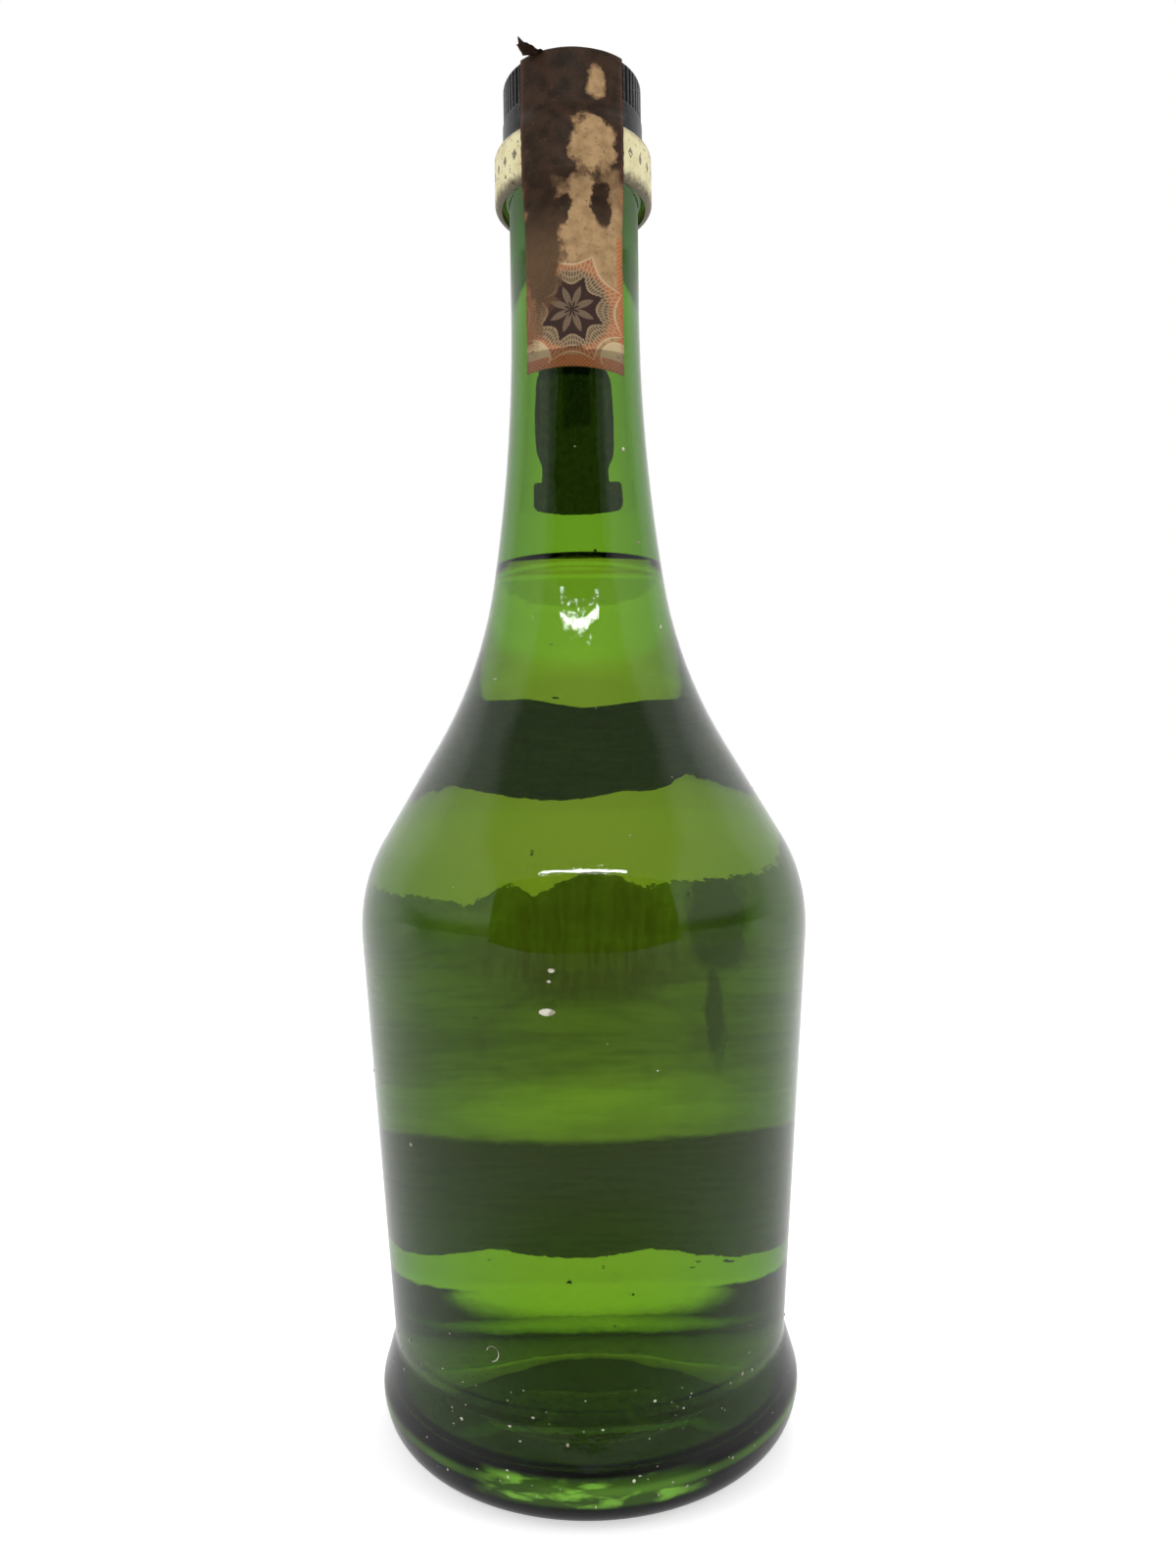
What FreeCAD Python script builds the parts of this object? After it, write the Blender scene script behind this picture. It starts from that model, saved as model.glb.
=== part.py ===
import FreeCAD, Part
import math
import os
import Sketcher

# A 75 cl bottle of grappa, closed and sealed: a green glass bottle with a long neck, a sloping
# shoulder, a body that narrows downwards and a flared foot, filled to the root of the neck. It has
# a ribbed screw cap, a ring under the cap, a paper tax strip over the cap, and three glued labels.
# Millimetres, +Z up. The origin is the middle of the circle the bottle stands on. The labels are
# on the +Y side and the long end of the tax strip is on the -Y side.

# Driving dimensions. The closure, neck and shoulder hang from the lip and the foot stands on the
# surface below, so that a change of height lengthens or shortens the body between them.
SIZES = {
    # the outside of the glass: corners of its outline, and at each the radius of its round or,
    # for the three wide bends, the reach from the corner to where the bend begins
    "lip_height": 285.8,
    "lip_round": 1.0,
    "finish_radius": 13.3,
    "finish_height": 15.4,
    "bead_radius": 15.6,
    "bead_height": 8.2,
    "bead_round": 1.2,
    "neck_radius": 14.1,
    "neck_length": 53.4,
    "neck_turn_reach": 29.1,
    "slope_out": 7.5,
    "slope_run": 48.6,
    "slope_reach": 19.0,
    "shoulder_radius": 48.7,
    "shoulder_run": 45.7,
    "shoulder_reach": 11.2,
    "waist_radius": 42.0,
    "waist_height": 19.2,
    "waist_round": 6.0,
    "foot_flare": 3.0,
    "foot_height": 9.1,
    "foot_round": 8.0,
    "heel_in": 2.2,
    "heel_round": 7.6,
    "stand_width": 9.8,
    "punt_edge_round": 3.0,
    "punt_crown_radius": 12.0,
    "punt_crown_round": 16.0,
    "punt_depth": 8.0,
    # the inside of the glass
    "wall": 3.3,
    "floor_height": 8.0,
    "floor_round": 10.0,
    "valley_in": 8.0,
    "valley_round": 8.0,
    "crown_thickness": 6.0,
    "cut_margin": 5.0,
    # the drink
    "fill_drop": 28.1,
    # the screw cap
    "cap_radius": 15.1,
    "cap_edge_round": 0.8,
    "cap_crown": 1.8,
    "cap_clearance": 0.3,
    "cap_gap": 0.2,
    "band_radius": 15.3,
    "band_height": 6.4,
    "band_edge_round": 0.3,
    "rib_count": 72,
    "rib_gap_half": 0.4,
    "rib_root_half": 0.18,
    "rib_depth": 0.45,
    "rib_start": 0.3,
    # the ring under the cap
    "collar_radius": 17.2,
    "collar_flange": 2.1,
    "collar_drop": 1.2,
    "collar_edge_round": 1.2,
    "collar_clearance": 0.15,
    # paper: tax strip and labels
    "paper_gap": 0.1,
    "paper_thickness": 0.2,
    "strip_width": 21.2,
    "strip_near_length": 40.0,
    "strip_far_length": 25.0,
    "strip_leave": 3.4,
    "strip_leave_round": 3.0,
    "strip_top_drop": 0.6,
    "strip_low_drop": 0.5,
    "strip_bend_round": 1.2,
    "strip_land_drop": 4.6,
    "strip_land_round": 6.0,
    # the neck label: a cameo on a short foot, measured down from the top of the cameo
    "neck_label_gap": 3.0,
    "cameo_half": 11.2,
    "cameo_round": 10.2,
    "cameo_length": 21.5,
    "cameo_low_round": 4.0,
    "tie_half": 9.0,
    "tie_length": 3.9,
    "tie_height": 3.4,
    "foot_half": 12.3,
    "label_foot_length": 6.4,
    "label_foot_round": 1.5,
    # the shoulder label: places across and heights of its corners, notches and lobes
    "shoulder_label_top_in": 15.0,
    "shoulder_label_top_half": 20.5,
    "shoulder_label_low_in": 8.0,
    "shoulder_label_low_half": 34.0,
    "shoulder_crest_left": 8.0,
    "shoulder_crest_right": 11.0,
    "shoulder_dip": 1.5,
    "shoulder_notch_left": 19.5,
    "shoulder_notch_middle": 7.1,
    "shoulder_notch_right": 15.8,
    "shoulder_lobe_left": 27.0,
    "shoulder_lobe_middle": 6.2,
    "shoulder_lobe_small": 11.4,
    "shoulder_lobe_right": 24.5,
    # the body label, the same way
    "body_label_half": 34.5,
    "body_label_top_in": 13.8,
    "body_label_low_in": 8.5,
    "body_crest_left": 25.5,
    "body_crest_small": 11.8,
    "body_crest_middle": 0.8,
    "body_crest_right": 21.5,
    "body_dip_left": 16.3,
    "body_dip_middle": 7.4,
    "body_dip_right": 8.9,
    "body_lobe_left": 24.2,
    "body_lobe_middle": 3.0,
    "body_lobe_right": 21.0,
    "body_notch_left": 13.9,
    "body_notch_right": 8.0,
    # how far a lobe's corner stands beyond its notches, and its round
    "lobe_reach": 7.5,
    "lobe_round": 15.0,
    "crest_reach": 4.2,
    "crest_round": 16.0,
    "small_reach": 3.0,
    "low_crest_reach": 2.2,
    "small_round": 4.5,
    "label_corner_round": 2.5,
    "stencil_reach": 60.0,
}

# Heights worked down from the lip, and radii worked in from the waist.
CAP_TOP = "lip_height + cap_crown"
BEAD_TOP = "lip_height - finish_height"
BEAD_LOW = f"{BEAD_TOP} - bead_height"
NECK_TURN = f"{BEAD_LOW} - neck_length"
SLOPE_RADIUS = "neck_radius + slope_out"
SLOPE_UP = f"{NECK_TURN} - slope_run"
SHOULDER_UP = f"{SLOPE_UP} - shoulder_run"
FOOT_RADIUS = "waist_radius + foot_flare"
HEEL_RADIUS = f"{FOOT_RADIUS} - heel_in"
PUNT_RADIUS = f"{HEEL_RADIUS} - stand_width"
COLLAR_TOP = f"{BEAD_TOP} + collar_flange"
COLLAR_LOW = f"{BEAD_LOW} - collar_drop"
CAP_LOW = f"{COLLAR_TOP} + cap_gap"
STRIP_FAR_END = f"{COLLAR_LOW} - strip_far_length"
CAMEO_TOP = f"{STRIP_FAR_END} - neck_label_gap"
CAMEO_LOW = f"{CAMEO_TOP} - cameo_length"
TIE_LOW = f"{CAMEO_LOW} - tie_length"
LABEL_FOOT_TOP = f"{TIE_LOW} - tie_height"
SHOULDER_LABEL_TOP = f"{SLOPE_UP} - shoulder_label_top_in"
SHOULDER_LABEL_LOW = f"{SHOULDER_UP} + shoulder_label_low_in"
BODY_LABEL_TOP = f"{SHOULDER_UP} - body_label_top_in"
BODY_LABEL_LOW = "waist_height + body_label_low_in"

doc = FreeCAD.newDocument("grappa_bottle")
sheet = doc.addObject("Spreadsheet::Sheet", "sizes")
for row, (alias, number) in enumerate(SIZES.items(), start=1):
    sheet.set(f"A{row}", alias)
    sheet.set(f"B{row}", str(number))
    sheet.setAlias(f"B{row}", alias)
doc.recompute()


def amount(text):
    """The value of a sum of named sizes, such as 'neck_radius + paper_gap'."""
    total = 0.0
    sign = 1.0
    for word in text.split():
        if word in ("+", "-"):
            sign = 1.0 if word == "+" else -1.0
        else:
            total += sign * (SIZES[word] if word in SIZES else float(word))
    return total


def bound(text):
    """The same sum as a FreeCAD expression on the sheet's cells."""
    return " ".join(f"sizes.{word}" if word in SIZES else word for word in text.split())


def origin_plane(body, role):
    """One of a body's own origin planes or axes."""
    return next(item for item in body.Origin.OriginFeatures if item.Role == role)


def new_body(name):
    body = doc.addObject("PartDesign::Body", name)
    body.Label = name
    return body


def new_sketch(body, name, role):
    sketch = body.newObject("Sketcher::SketchObject", name)
    sketch.AttachmentSupport = [(origin_plane(body, role), "")]
    sketch.MapMode = "FlatFace"
    return sketch


def hold_at(sketch, geometry, place, across, up):
    """Fix one point of the sketch at two named distances from its origin."""
    for kind, text, axis in (("DistanceX", across, -2), ("DistanceY", up, -1)):
        if text == "0":
            sketch.addConstraint(Sketcher.Constraint("PointOnObject", geometry, place, axis))
            continue
        made = sketch.addConstraint(
            Sketcher.Constraint(kind, -1, 1, geometry, place, amount(text))
        )
        sketch.setExpression(f"Constraints[{made}]", bound(text))


def draw_outline(sketch, corners):
    """A closed outline through corners (across, up) or (across, up, round), each a named size.

    A corner with a round is cut by an arc tangent to both its lines. Its size is the arc's radius
    or, for a name that ends in _reach, the distance from the corner to where the arc begins. The
    corner itself stays in the sketch as the crossing point of the two lines.
    """
    spots = [FreeCAD.Vector(amount(c[0]), amount(c[1]), 0) for c in corners]
    count = len(corners)
    starts = []
    ends = []
    arcs = []
    for i, corner in enumerate(corners):
        spot = spots[i]
        back = (spots[i - 1] - spot).normalize()
        ahead = (spots[(i + 1) % count] - spot).normalize()
        if len(corner) == 2:
            starts.append(spot)
            ends.append(spot)
            arcs.append(None)
            continue
        half = back.getAngle(ahead) / 2
        by_reach = corner[2].endswith("_reach")
        radius = amount(corner[2]) * (math.tan(half) if by_reach else 1)
        middle = spot + (back + ahead).normalize() * (radius / math.sin(half))
        first = spot + back * (radius / math.tan(half))
        last = spot + ahead * (radius / math.tan(half))
        left_turn = back.cross(ahead).z < 0
        begin, finish = (first, last) if left_turn else (last, first)
        begin_angle = math.atan2(begin.y - middle.y, begin.x - middle.x)
        finish_angle = math.atan2(finish.y - middle.y, finish.x - middle.x)
        if finish_angle < begin_angle:
            finish_angle += 2 * math.pi
        circle = Part.Circle(middle, FreeCAD.Vector(0, 0, 1), radius)
        arcs.append((Part.ArcOfCircle(circle, begin_angle, finish_angle), left_turn))
        starts.append(last)
        ends.append(first)
    lines = [
        sketch.addGeometry(Part.LineSegment(starts[i], ends[(i + 1) % count])) for i in range(count)
    ]
    for i, corner in enumerate(corners):
        before = lines[i - 1]
        after = lines[i]
        if arcs[i] is None:
            sketch.addConstraint(Sketcher.Constraint("Coincident", before, 2, after, 1))
            hold_at(sketch, after, 1, corner[0], corner[1])
            continue
        curve, left_turn = arcs[i]
        arc = sketch.addGeometry(curve)
        near, far = (1, 2) if left_turn else (2, 1)
        sketch.addConstraint(Sketcher.Constraint("Tangent", before, 2, arc, near))
        sketch.addConstraint(Sketcher.Constraint("Tangent", arc, far, after, 1))
        crossing = sketch.addGeometry(Part.Point(spots[i]), True)
        sketch.addConstraint(Sketcher.Constraint("PointOnObject", crossing, 1, before))
        sketch.addConstraint(Sketcher.Constraint("PointOnObject", crossing, 1, after))
        hold_at(sketch, crossing, 1, corner[0], corner[1])
        size = Sketcher.Constraint("Radius", arc, amount(corner[2]))
        if corner[2].endswith("_reach"):
            size = Sketcher.Constraint("Distance", crossing, 1, arc, near, amount(corner[2]))
        made = sketch.addConstraint(size)
        sketch.setExpression(f"Constraints[{made}]", bound(corner[2]))


def turned(body, name, corners, kind="PartDesign::Revolution"):
    """Turn an outline in the XZ plane once round the vertical axis, to add or to cut."""
    sketch = new_sketch(body, f"{name}_outline", "XZ_Plane")
    draw_outline(sketch, corners)
    turn = body.newObject(kind, name)
    turn.Profile = sketch
    turn.ReferenceAxis = (sketch, ["V_Axis"])
    turn.Angle = 360
    return turn


# The green glass: a solid turned to the outside form, then hollowed by a second outline that runs
# one wall inside the first, with a floor that rises over the punt.
NECK_TO_WAIST = (
    ("neck_radius", NECK_TURN, "neck_turn_reach"),
    (SLOPE_RADIUS, SLOPE_UP, "slope_reach"),
    ("shoulder_radius", SHOULDER_UP, "shoulder_reach"),
)
OUTSIDE = [
    ("0", "lip_height"),
    ("finish_radius", "lip_height", "lip_round"),
    ("finish_radius", BEAD_TOP),
    ("bead_radius", BEAD_TOP, "bead_round"),
    ("bead_radius", BEAD_LOW, "bead_round"),
    ("neck_radius", BEAD_LOW),
    *NECK_TO_WAIST,
    ("waist_radius", "waist_height", "waist_round"),
    (FOOT_RADIUS, "foot_height", "foot_round"),
    (HEEL_RADIUS, "0", "heel_round"),
    (PUNT_RADIUS, "0", "punt_edge_round"),
    ("punt_crown_radius", "punt_depth", "punt_crown_round"),
    ("0", "punt_depth"),
]
INSIDE = [
    ("0", "lip_height + cut_margin"),
    ("neck_radius - wall", "lip_height + cut_margin"),
    *((f"{radius} - wall", height, bend) for radius, height, bend in NECK_TO_WAIST),
    ("waist_radius - wall", "floor_height", "floor_round"),
    (f"{PUNT_RADIUS} - valley_in", "floor_height", "valley_round"),
    ("punt_crown_radius", "punt_depth + crown_thickness", "punt_crown_round"),
    ("0", "punt_depth + crown_thickness"),
]
glass = new_body("bottle_glass")
turned(glass, "glass_form", OUTSIDE)
doc.recompute()
solid_volume = glass.Shape.Volume
turned(glass, "glass_hollow", INSIDE, "PartDesign::Groove")
doc.recompute()
if glass.Shape.Volume > solid_volume - glass.Shape.Volume:
    raise RuntimeError("the hollow cut too little out of the glass")

# The drink: the same hollow as a solid, kept up to the fill level.
hollow_core = new_body("hollow_core")
turned(hollow_core, "hollow_form", INSIDE)
below_fill = doc.addObject("Part::Cylinder", "below_fill")
below_fill.setExpression("Radius", bound("shoulder_radius"))
below_fill.setExpression("Height", bound(f"{NECK_TURN} - fill_drop"))
grappa = doc.addObject("Part::Common", "grappa")
grappa.Label = "grappa"
grappa.Base = hollow_core
grappa.Tool = below_fill

# The screw cap: one moulding, hollow over the glass finish and resting on its lip, with a plain
# band below and ribs above, cut by one groove repeated round the axis.
cap = new_body("screw_cap")
turned(
    cap,
    "cap_form",
    [
        ("0", CAP_TOP),
        ("cap_radius", CAP_TOP, "cap_edge_round"),
        ("cap_radius", f"{CAP_LOW} + band_height"),
        ("band_radius", f"{CAP_LOW} + band_height", "band_edge_round"),
        ("band_radius", CAP_LOW, "band_edge_round"),
        ("finish_radius + cap_clearance", CAP_LOW),
        ("finish_radius + cap_clearance", "lip_height"),
        ("0", "lip_height"),
    ],
)
doc.recompute()
plain_volume = cap.Shape.Volume
gap_sketch = new_sketch(cap, "rib_gap_outline", "XY_Plane")
gap_sketch.setExpression(
    "AttachmentOffset.Base.z", bound(f"{CAP_LOW} + band_height + rib_start")
)
draw_outline(
    gap_sketch,
    [
        ("cap_radius - rib_depth", "- rib_root_half"),
        ("cap_radius + rib_depth", "- rib_gap_half"),
        ("cap_radius + rib_depth", "rib_gap_half"),
        ("cap_radius - rib_depth", "rib_root_half"),
    ],
)
rib_gap = cap.newObject("PartDesign::Pocket", "rib_gap")
rib_gap.Profile = gap_sketch
rib_gap.Type = "ThroughAll"
rib_gap.Reversed = True
doc.recompute()
ribs = cap.newObject("PartDesign::PolarPattern", "ribs")
ribs.Originals = [rib_gap]
ribs.Axis = (origin_plane(cap, "Z_Axis"), [""])
ribs.Angle = 360
ribs.setExpression("Occurrences", bound("rib_count"))
cap.Tip = ribs
doc.recompute()
if cap.Shape.Volume >= plain_volume:
    raise RuntimeError("the gaps between the ribs were not cut")

# The ring under the cap: its flange sits on the glass bead and its skirt hides the bead.
collar = new_body("collar")
turned(
    collar,
    "collar_form",
    [
        ("finish_radius + collar_clearance", COLLAR_TOP),
        ("collar_radius", COLLAR_TOP, "collar_edge_round"),
        ("collar_radius", COLLAR_LOW, "collar_edge_round"),
        ("bead_radius + collar_clearance", COLLAR_LOW),
        ("bead_radius + collar_clearance", BEAD_TOP),
        ("finish_radius + collar_clearance", BEAD_TOP),
    ],
)


def paper_skin(body, name, corners_at):
    """A turned skin of paper: an outline one paper thickness outside the same outline."""
    outer_side = corners_at("paper_gap + paper_thickness")
    inner_side = corners_at("paper_gap")
    return turned(body, name, [*outer_side, *reversed(inner_side)])


def over_the_cap(lift):
    """Where the tax strip lies: cap top, cap side, out over the ring, in to the neck and down."""
    return [
        ("0", f"{CAP_TOP} + {lift}"),
        (f"band_radius + {lift}", f"{CAP_TOP} + {lift}", "cap_edge_round"),
        (f"band_radius + {lift}", f"{COLLAR_TOP} + strip_leave", "strip_leave_round"),
        (f"collar_radius + {lift}", f"{COLLAR_TOP} - strip_top_drop", "strip_bend_round"),
        (f"collar_radius + {lift}", f"{COLLAR_LOW} + strip_low_drop", "strip_bend_round"),
        (f"neck_radius + {lift}", f"{COLLAR_LOW} - strip_land_drop", "strip_land_round"),
        (f"neck_radius + {lift}", NECK_TURN, "neck_turn_reach"),
        (f"{SLOPE_RADIUS} + {lift}", SLOPE_UP),
    ]


def on_the_glass(lift):
    """Where the labels lie: the outside of the glass from the bead to the waist."""
    return [
        (f"neck_radius + {lift}", BEAD_LOW),
        *((f"{radius} + {lift}", height, bend) for radius, height, bend in NECK_TO_WAIST),
        (f"waist_radius + {lift}", "waist_height"),
    ]


def cut_paper(node, skin_at, role, outline, depth, both_ways):
    """A piece of paper: a turned skin, kept where a flat stencil passes through it."""
    skin = new_body(f"{node}_skin")
    paper_skin(skin, f"{node}_sheet", skin_at)
    stencil = new_body(f"{node}_stencil")
    sketch = new_sketch(stencil, f"{node}_stencil_outline", role)
    draw_outline(sketch, outline)
    pad = stencil.newObject("PartDesign::Pad", f"{node}_stencil_pad")
    pad.Profile = sketch
    if both_ways:
        pad.Midplane = True
    else:
        pad.Reversed = True
    pad.setExpression("Length", bound(depth))
    piece = doc.addObject("Part::Common", node)
    piece.Label = node
    piece.Base = skin
    piece.Tool = stencil
    return piece


def mirrored(side):
    """Corners on the +X side, listed upwards, and the same corners on the -X side, downwards."""
    other = []
    for corner in reversed(side):
        other.append((f"- {corner[0]}", *corner[1:]))
    return [*side, *other]


# The paper tax strip: glued over the closed cap, long end down the -Y side of the neck, short end
# down the +Y side to just above the neck label.
tax_strip = cut_paper(
    "tax_strip",
    over_the_cap,
    "YZ_Plane",
    [
        ("- stencil_reach", f"{COLLAR_LOW} - strip_near_length"),
        ("0", f"{COLLAR_LOW} - strip_near_length"),
        ("0", STRIP_FAR_END),
        ("stencil_reach", STRIP_FAR_END),
        ("stencil_reach", f"{CAP_TOP} + stencil_reach"),
        ("- stencil_reach", f"{CAP_TOP} + stencil_reach"),
    ],
    "strip_width",
    True,
)

# The neck label: a cameo with a domed head, tied in above a short wide foot.
neck_label = cut_paper(
    "neck_label",
    on_the_glass,
    "XZ_Plane",
    mirrored(
        [
            ("foot_half", f"{LABEL_FOOT_TOP} - label_foot_length", "label_foot_round"),
            ("foot_half", LABEL_FOOT_TOP, "label_foot_round"),
            ("tie_half", LABEL_FOOT_TOP),
            ("tie_half", TIE_LOW),
            ("cameo_half", CAMEO_LOW, "cameo_low_round"),
            ("cameo_half", CAMEO_TOP, "cameo_round"),
        ]
    ),
    "stencil_reach",
    False,
)
# The shoulder label: wider below than above, with a low wave along its top and uneven lobes below.
shoulder_label = cut_paper(
    "shoulder_label",
    on_the_glass,
    "XZ_Plane",
    [
        ("- shoulder_label_top_half", SHOULDER_LABEL_TOP, "label_corner_round"),
        ("- shoulder_label_low_half", SHOULDER_LABEL_LOW, "label_corner_round"),
        ("- shoulder_lobe_left", f"{SHOULDER_LABEL_LOW} - crest_reach", "small_round"),
        ("- shoulder_notch_left", SHOULDER_LABEL_LOW),
        ("- shoulder_lobe_middle", f"{SHOULDER_LABEL_LOW} - lobe_reach", "lobe_round"),
        ("shoulder_notch_middle", SHOULDER_LABEL_LOW),
        ("shoulder_lobe_small", f"{SHOULDER_LABEL_LOW} - small_reach", "small_round"),
        ("shoulder_notch_right", SHOULDER_LABEL_LOW),
        ("shoulder_lobe_right", f"{SHOULDER_LABEL_LOW} - crest_reach", "small_round"),
        ("shoulder_label_low_half", SHOULDER_LABEL_LOW, "label_corner_round"),
        ("shoulder_label_top_half", SHOULDER_LABEL_TOP, "label_corner_round"),
        ("shoulder_crest_right", f"{SHOULDER_LABEL_TOP} + small_reach", "lobe_round"),
        ("shoulder_dip", SHOULDER_LABEL_TOP),
        ("- shoulder_crest_left", f"{SHOULDER_LABEL_TOP} + small_reach", "lobe_round"),
    ],
    "stencil_reach",
    False,
)

# The body label: upright sides, with lobes of uneven width along its top and its foot.
body_label = cut_paper(
    "body_label",
    on_the_glass,
    "XZ_Plane",
    [
        ("- body_label_half", BODY_LABEL_TOP, "label_corner_round"),
        ("- body_label_half", BODY_LABEL_LOW, "label_corner_round"),
        ("- body_lobe_left", f"{BODY_LABEL_LOW} - crest_reach", "lobe_round"),
        ("- body_notch_left", BODY_LABEL_LOW),
        ("- body_lobe_middle", f"{BODY_LABEL_LOW} - crest_reach", "lobe_round"),
        ("body_notch_right", BODY_LABEL_LOW),
        ("body_lobe_right", f"{BODY_LABEL_LOW} - crest_reach", "lobe_round"),
        ("body_label_half", BODY_LABEL_LOW, "label_corner_round"),
        ("body_label_half", BODY_LABEL_TOP, "label_corner_round"),
        ("body_crest_right", f"{BODY_LABEL_TOP} + low_crest_reach", "crest_round"),
        ("body_dip_right", BODY_LABEL_TOP),
        ("body_crest_middle", f"{BODY_LABEL_TOP} + low_crest_reach", "crest_round"),
        ("- body_dip_middle", BODY_LABEL_TOP),
        ("- body_crest_small", f"{BODY_LABEL_TOP} + low_crest_reach", "small_round"),
        ("- body_dip_left", BODY_LABEL_TOP),
        ("- body_crest_left", f"{BODY_LABEL_TOP} + low_crest_reach", "crest_round"),
    ],
    "stencil_reach",
    False,
)

NODES = [glass, grappa, cap, collar, tax_strip, neck_label, shoulder_label, body_label]
doc.recompute()
for item in doc.Objects:
    if "Invalid" in item.State or "Error" in item.State:
        raise RuntimeError(f"{item.Name} did not build: {item.State}")
for node in NODES:
    if node.Shape.isNull() or not node.Shape.isValid() or len(node.Shape.Solids) != 1:
        raise RuntimeError(f"{node.Label} is not one valid solid")

os.makedirs("parts", exist_ok=True)
for node in NODES:
    node.Shape.exportStep(f"parts/{node.Label}.step")
    print(f"{node.Label}: {node.Shape.Volume / 1000:.2f} cubic centimetres")
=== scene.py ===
import bpy
import bmesh
import math
import random
from mathutils import Matrix, Vector, noise


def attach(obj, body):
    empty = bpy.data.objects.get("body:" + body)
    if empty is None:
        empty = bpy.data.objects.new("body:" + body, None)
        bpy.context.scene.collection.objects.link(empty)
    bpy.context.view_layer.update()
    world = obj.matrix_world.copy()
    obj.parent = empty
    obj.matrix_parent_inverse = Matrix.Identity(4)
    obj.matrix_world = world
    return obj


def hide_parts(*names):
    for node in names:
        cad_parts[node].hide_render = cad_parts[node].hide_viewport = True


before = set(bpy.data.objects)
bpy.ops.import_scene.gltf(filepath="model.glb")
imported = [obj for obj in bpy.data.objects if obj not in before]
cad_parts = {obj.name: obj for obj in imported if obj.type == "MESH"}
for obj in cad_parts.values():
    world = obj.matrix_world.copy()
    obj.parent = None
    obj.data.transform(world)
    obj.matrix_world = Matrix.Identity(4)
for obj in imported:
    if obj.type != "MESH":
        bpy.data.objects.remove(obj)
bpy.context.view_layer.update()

# Camera: level, at the height of the bottle's middle and close to it, so the foot is seen from
# above and the cap from below. It is turned a little about its own axis, so the bottle leans.
view = bpy.data.cameras.new("view")
view.lens = 24.75
view.sensor_width = 36
view.shift_y = -0.00875
camera = bpy.data.objects.new("camera", view)
bpy.context.scene.collection.objects.link(camera)
camera.location = (0.00134, -0.2376, 0.1382)
camera.rotation_euler = Matrix.Rotation(math.radians(90), 3, "X").to_euler()
camera.rotation_euler.rotate_axis("Z", math.radians(-0.853))
bpy.context.scene.camera = camera

# The bottle: green glass, blown in a mould, of one even wall, with a bead under the finish that
# the closure grips, a foot rolled outwards and a shallow punt underneath.
GLASS_OUTSIDE = [
    (0, 8, 0),
    (12, 8, 16),
    (33, 0, 3),
    (42.8, 0, 7.6),
    (45, 9.1, 8),
    (42, 19.2, 6),
    (48.7, 114.5, 35.86),
    (21.6, 160.2, 98.2),
    (14.1, 208.8, 379.4),
    (14.1, 262.2, 0),
    (15.6, 262.2, 1.2),
    (15.6, 270.4, 1.2),
    (13.3, 270.4, 0),
    (13.3, 285.8, 1),
]
GLASS_INSIDE = [
    (10.8, 285.8, 1),
    (10.8, 208.8, 379.4),
    (18.3, 160.2, 98.2),
    (45.4, 114.5, 35.86),
    (38.7, 19.4, 8),
    (41.6, 8, 3.5),
    (25, 8, 8),
    (12, 14, 16),
    (0, 14, 0),
]


def line_with_bends(mesh, corners, steps=10):
    """A wire through (out, up, bend radius) corners in millimetres, each bend a true arc."""
    ends = []
    for i, (out, up, bend) in enumerate(corners):
        corner = Vector((out, 0, up))
        if not bend:
            point = mesh.verts.new(corner)
            ends.append((point, point))
            continue
        back = (Vector((corners[i - 1][0], 0, corners[i - 1][1])) - corner).normalized()
        following = corners[(i + 1) % len(corners)]
        ahead = (Vector((following[0], 0, following[1])) - corner).normalized()
        half = back.angle(ahead) / 2
        start = corner + back * (bend / math.tan(half))
        middle = corner + (back + ahead).normalized() * (bend / math.sin(half))
        turn = math.pi - 2 * half
        if back.cross(ahead).y > 0:
            turn = -turn
        first = mesh.verts.new(start)
        swept = bmesh.ops.spin(
            mesh, geom=[first], cent=middle, axis=(0, 1, 0), angle=turn, steps=steps
        )
        last = [item for item in swept["geom_last"] if isinstance(item, bmesh.types.BMVert)][0]
        ends.append((first, last))
    for (_, last), (first, _) in zip(ends, ends[1:]):
        mesh.edges.new((last, first))
    return ends


def finish_piece(name, mesh, *materials, slot=""):
    """Make a shown piece of a mesh drawn in millimetres and fix it to the bottle."""
    bmesh.ops.scale(mesh, vec=(0.001, 0.001, 0.001), verts=mesh.verts)
    for face in mesh.faces:
        face.smooth = True
    data = bpy.data.meshes.new(name)
    mesh.to_mesh(data)
    mesh.free()
    for material in materials:
        data.materials.append(material)
    piece = bpy.data.objects.new(name, data)
    bpy.context.scene.collection.objects.link(piece)
    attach(piece, "root")
    return piece


def turn_full(mesh, steps):
    """Turn all of a wire once round the upright axis and close its seam and its poles."""
    bmesh.ops.spin(
        mesh, geom=mesh.verts[:] + mesh.edges[:], cent=(0, 0, 0), axis=(0, 0, 1),
        angle=2 * math.pi, steps=steps, use_merge=True,
    )
    bmesh.ops.remove_doubles(mesh, verts=mesh.verts, dist=0.0005)
    bmesh.ops.recalc_face_normals(mesh, faces=mesh.faces)


def new_material(name):
    """A material with its node tree and its Principled shader."""
    material = bpy.data.materials.new(name)
    material.use_nodes = True
    return material, material.node_tree, material.node_tree.nodes["Principled BSDF"]


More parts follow.
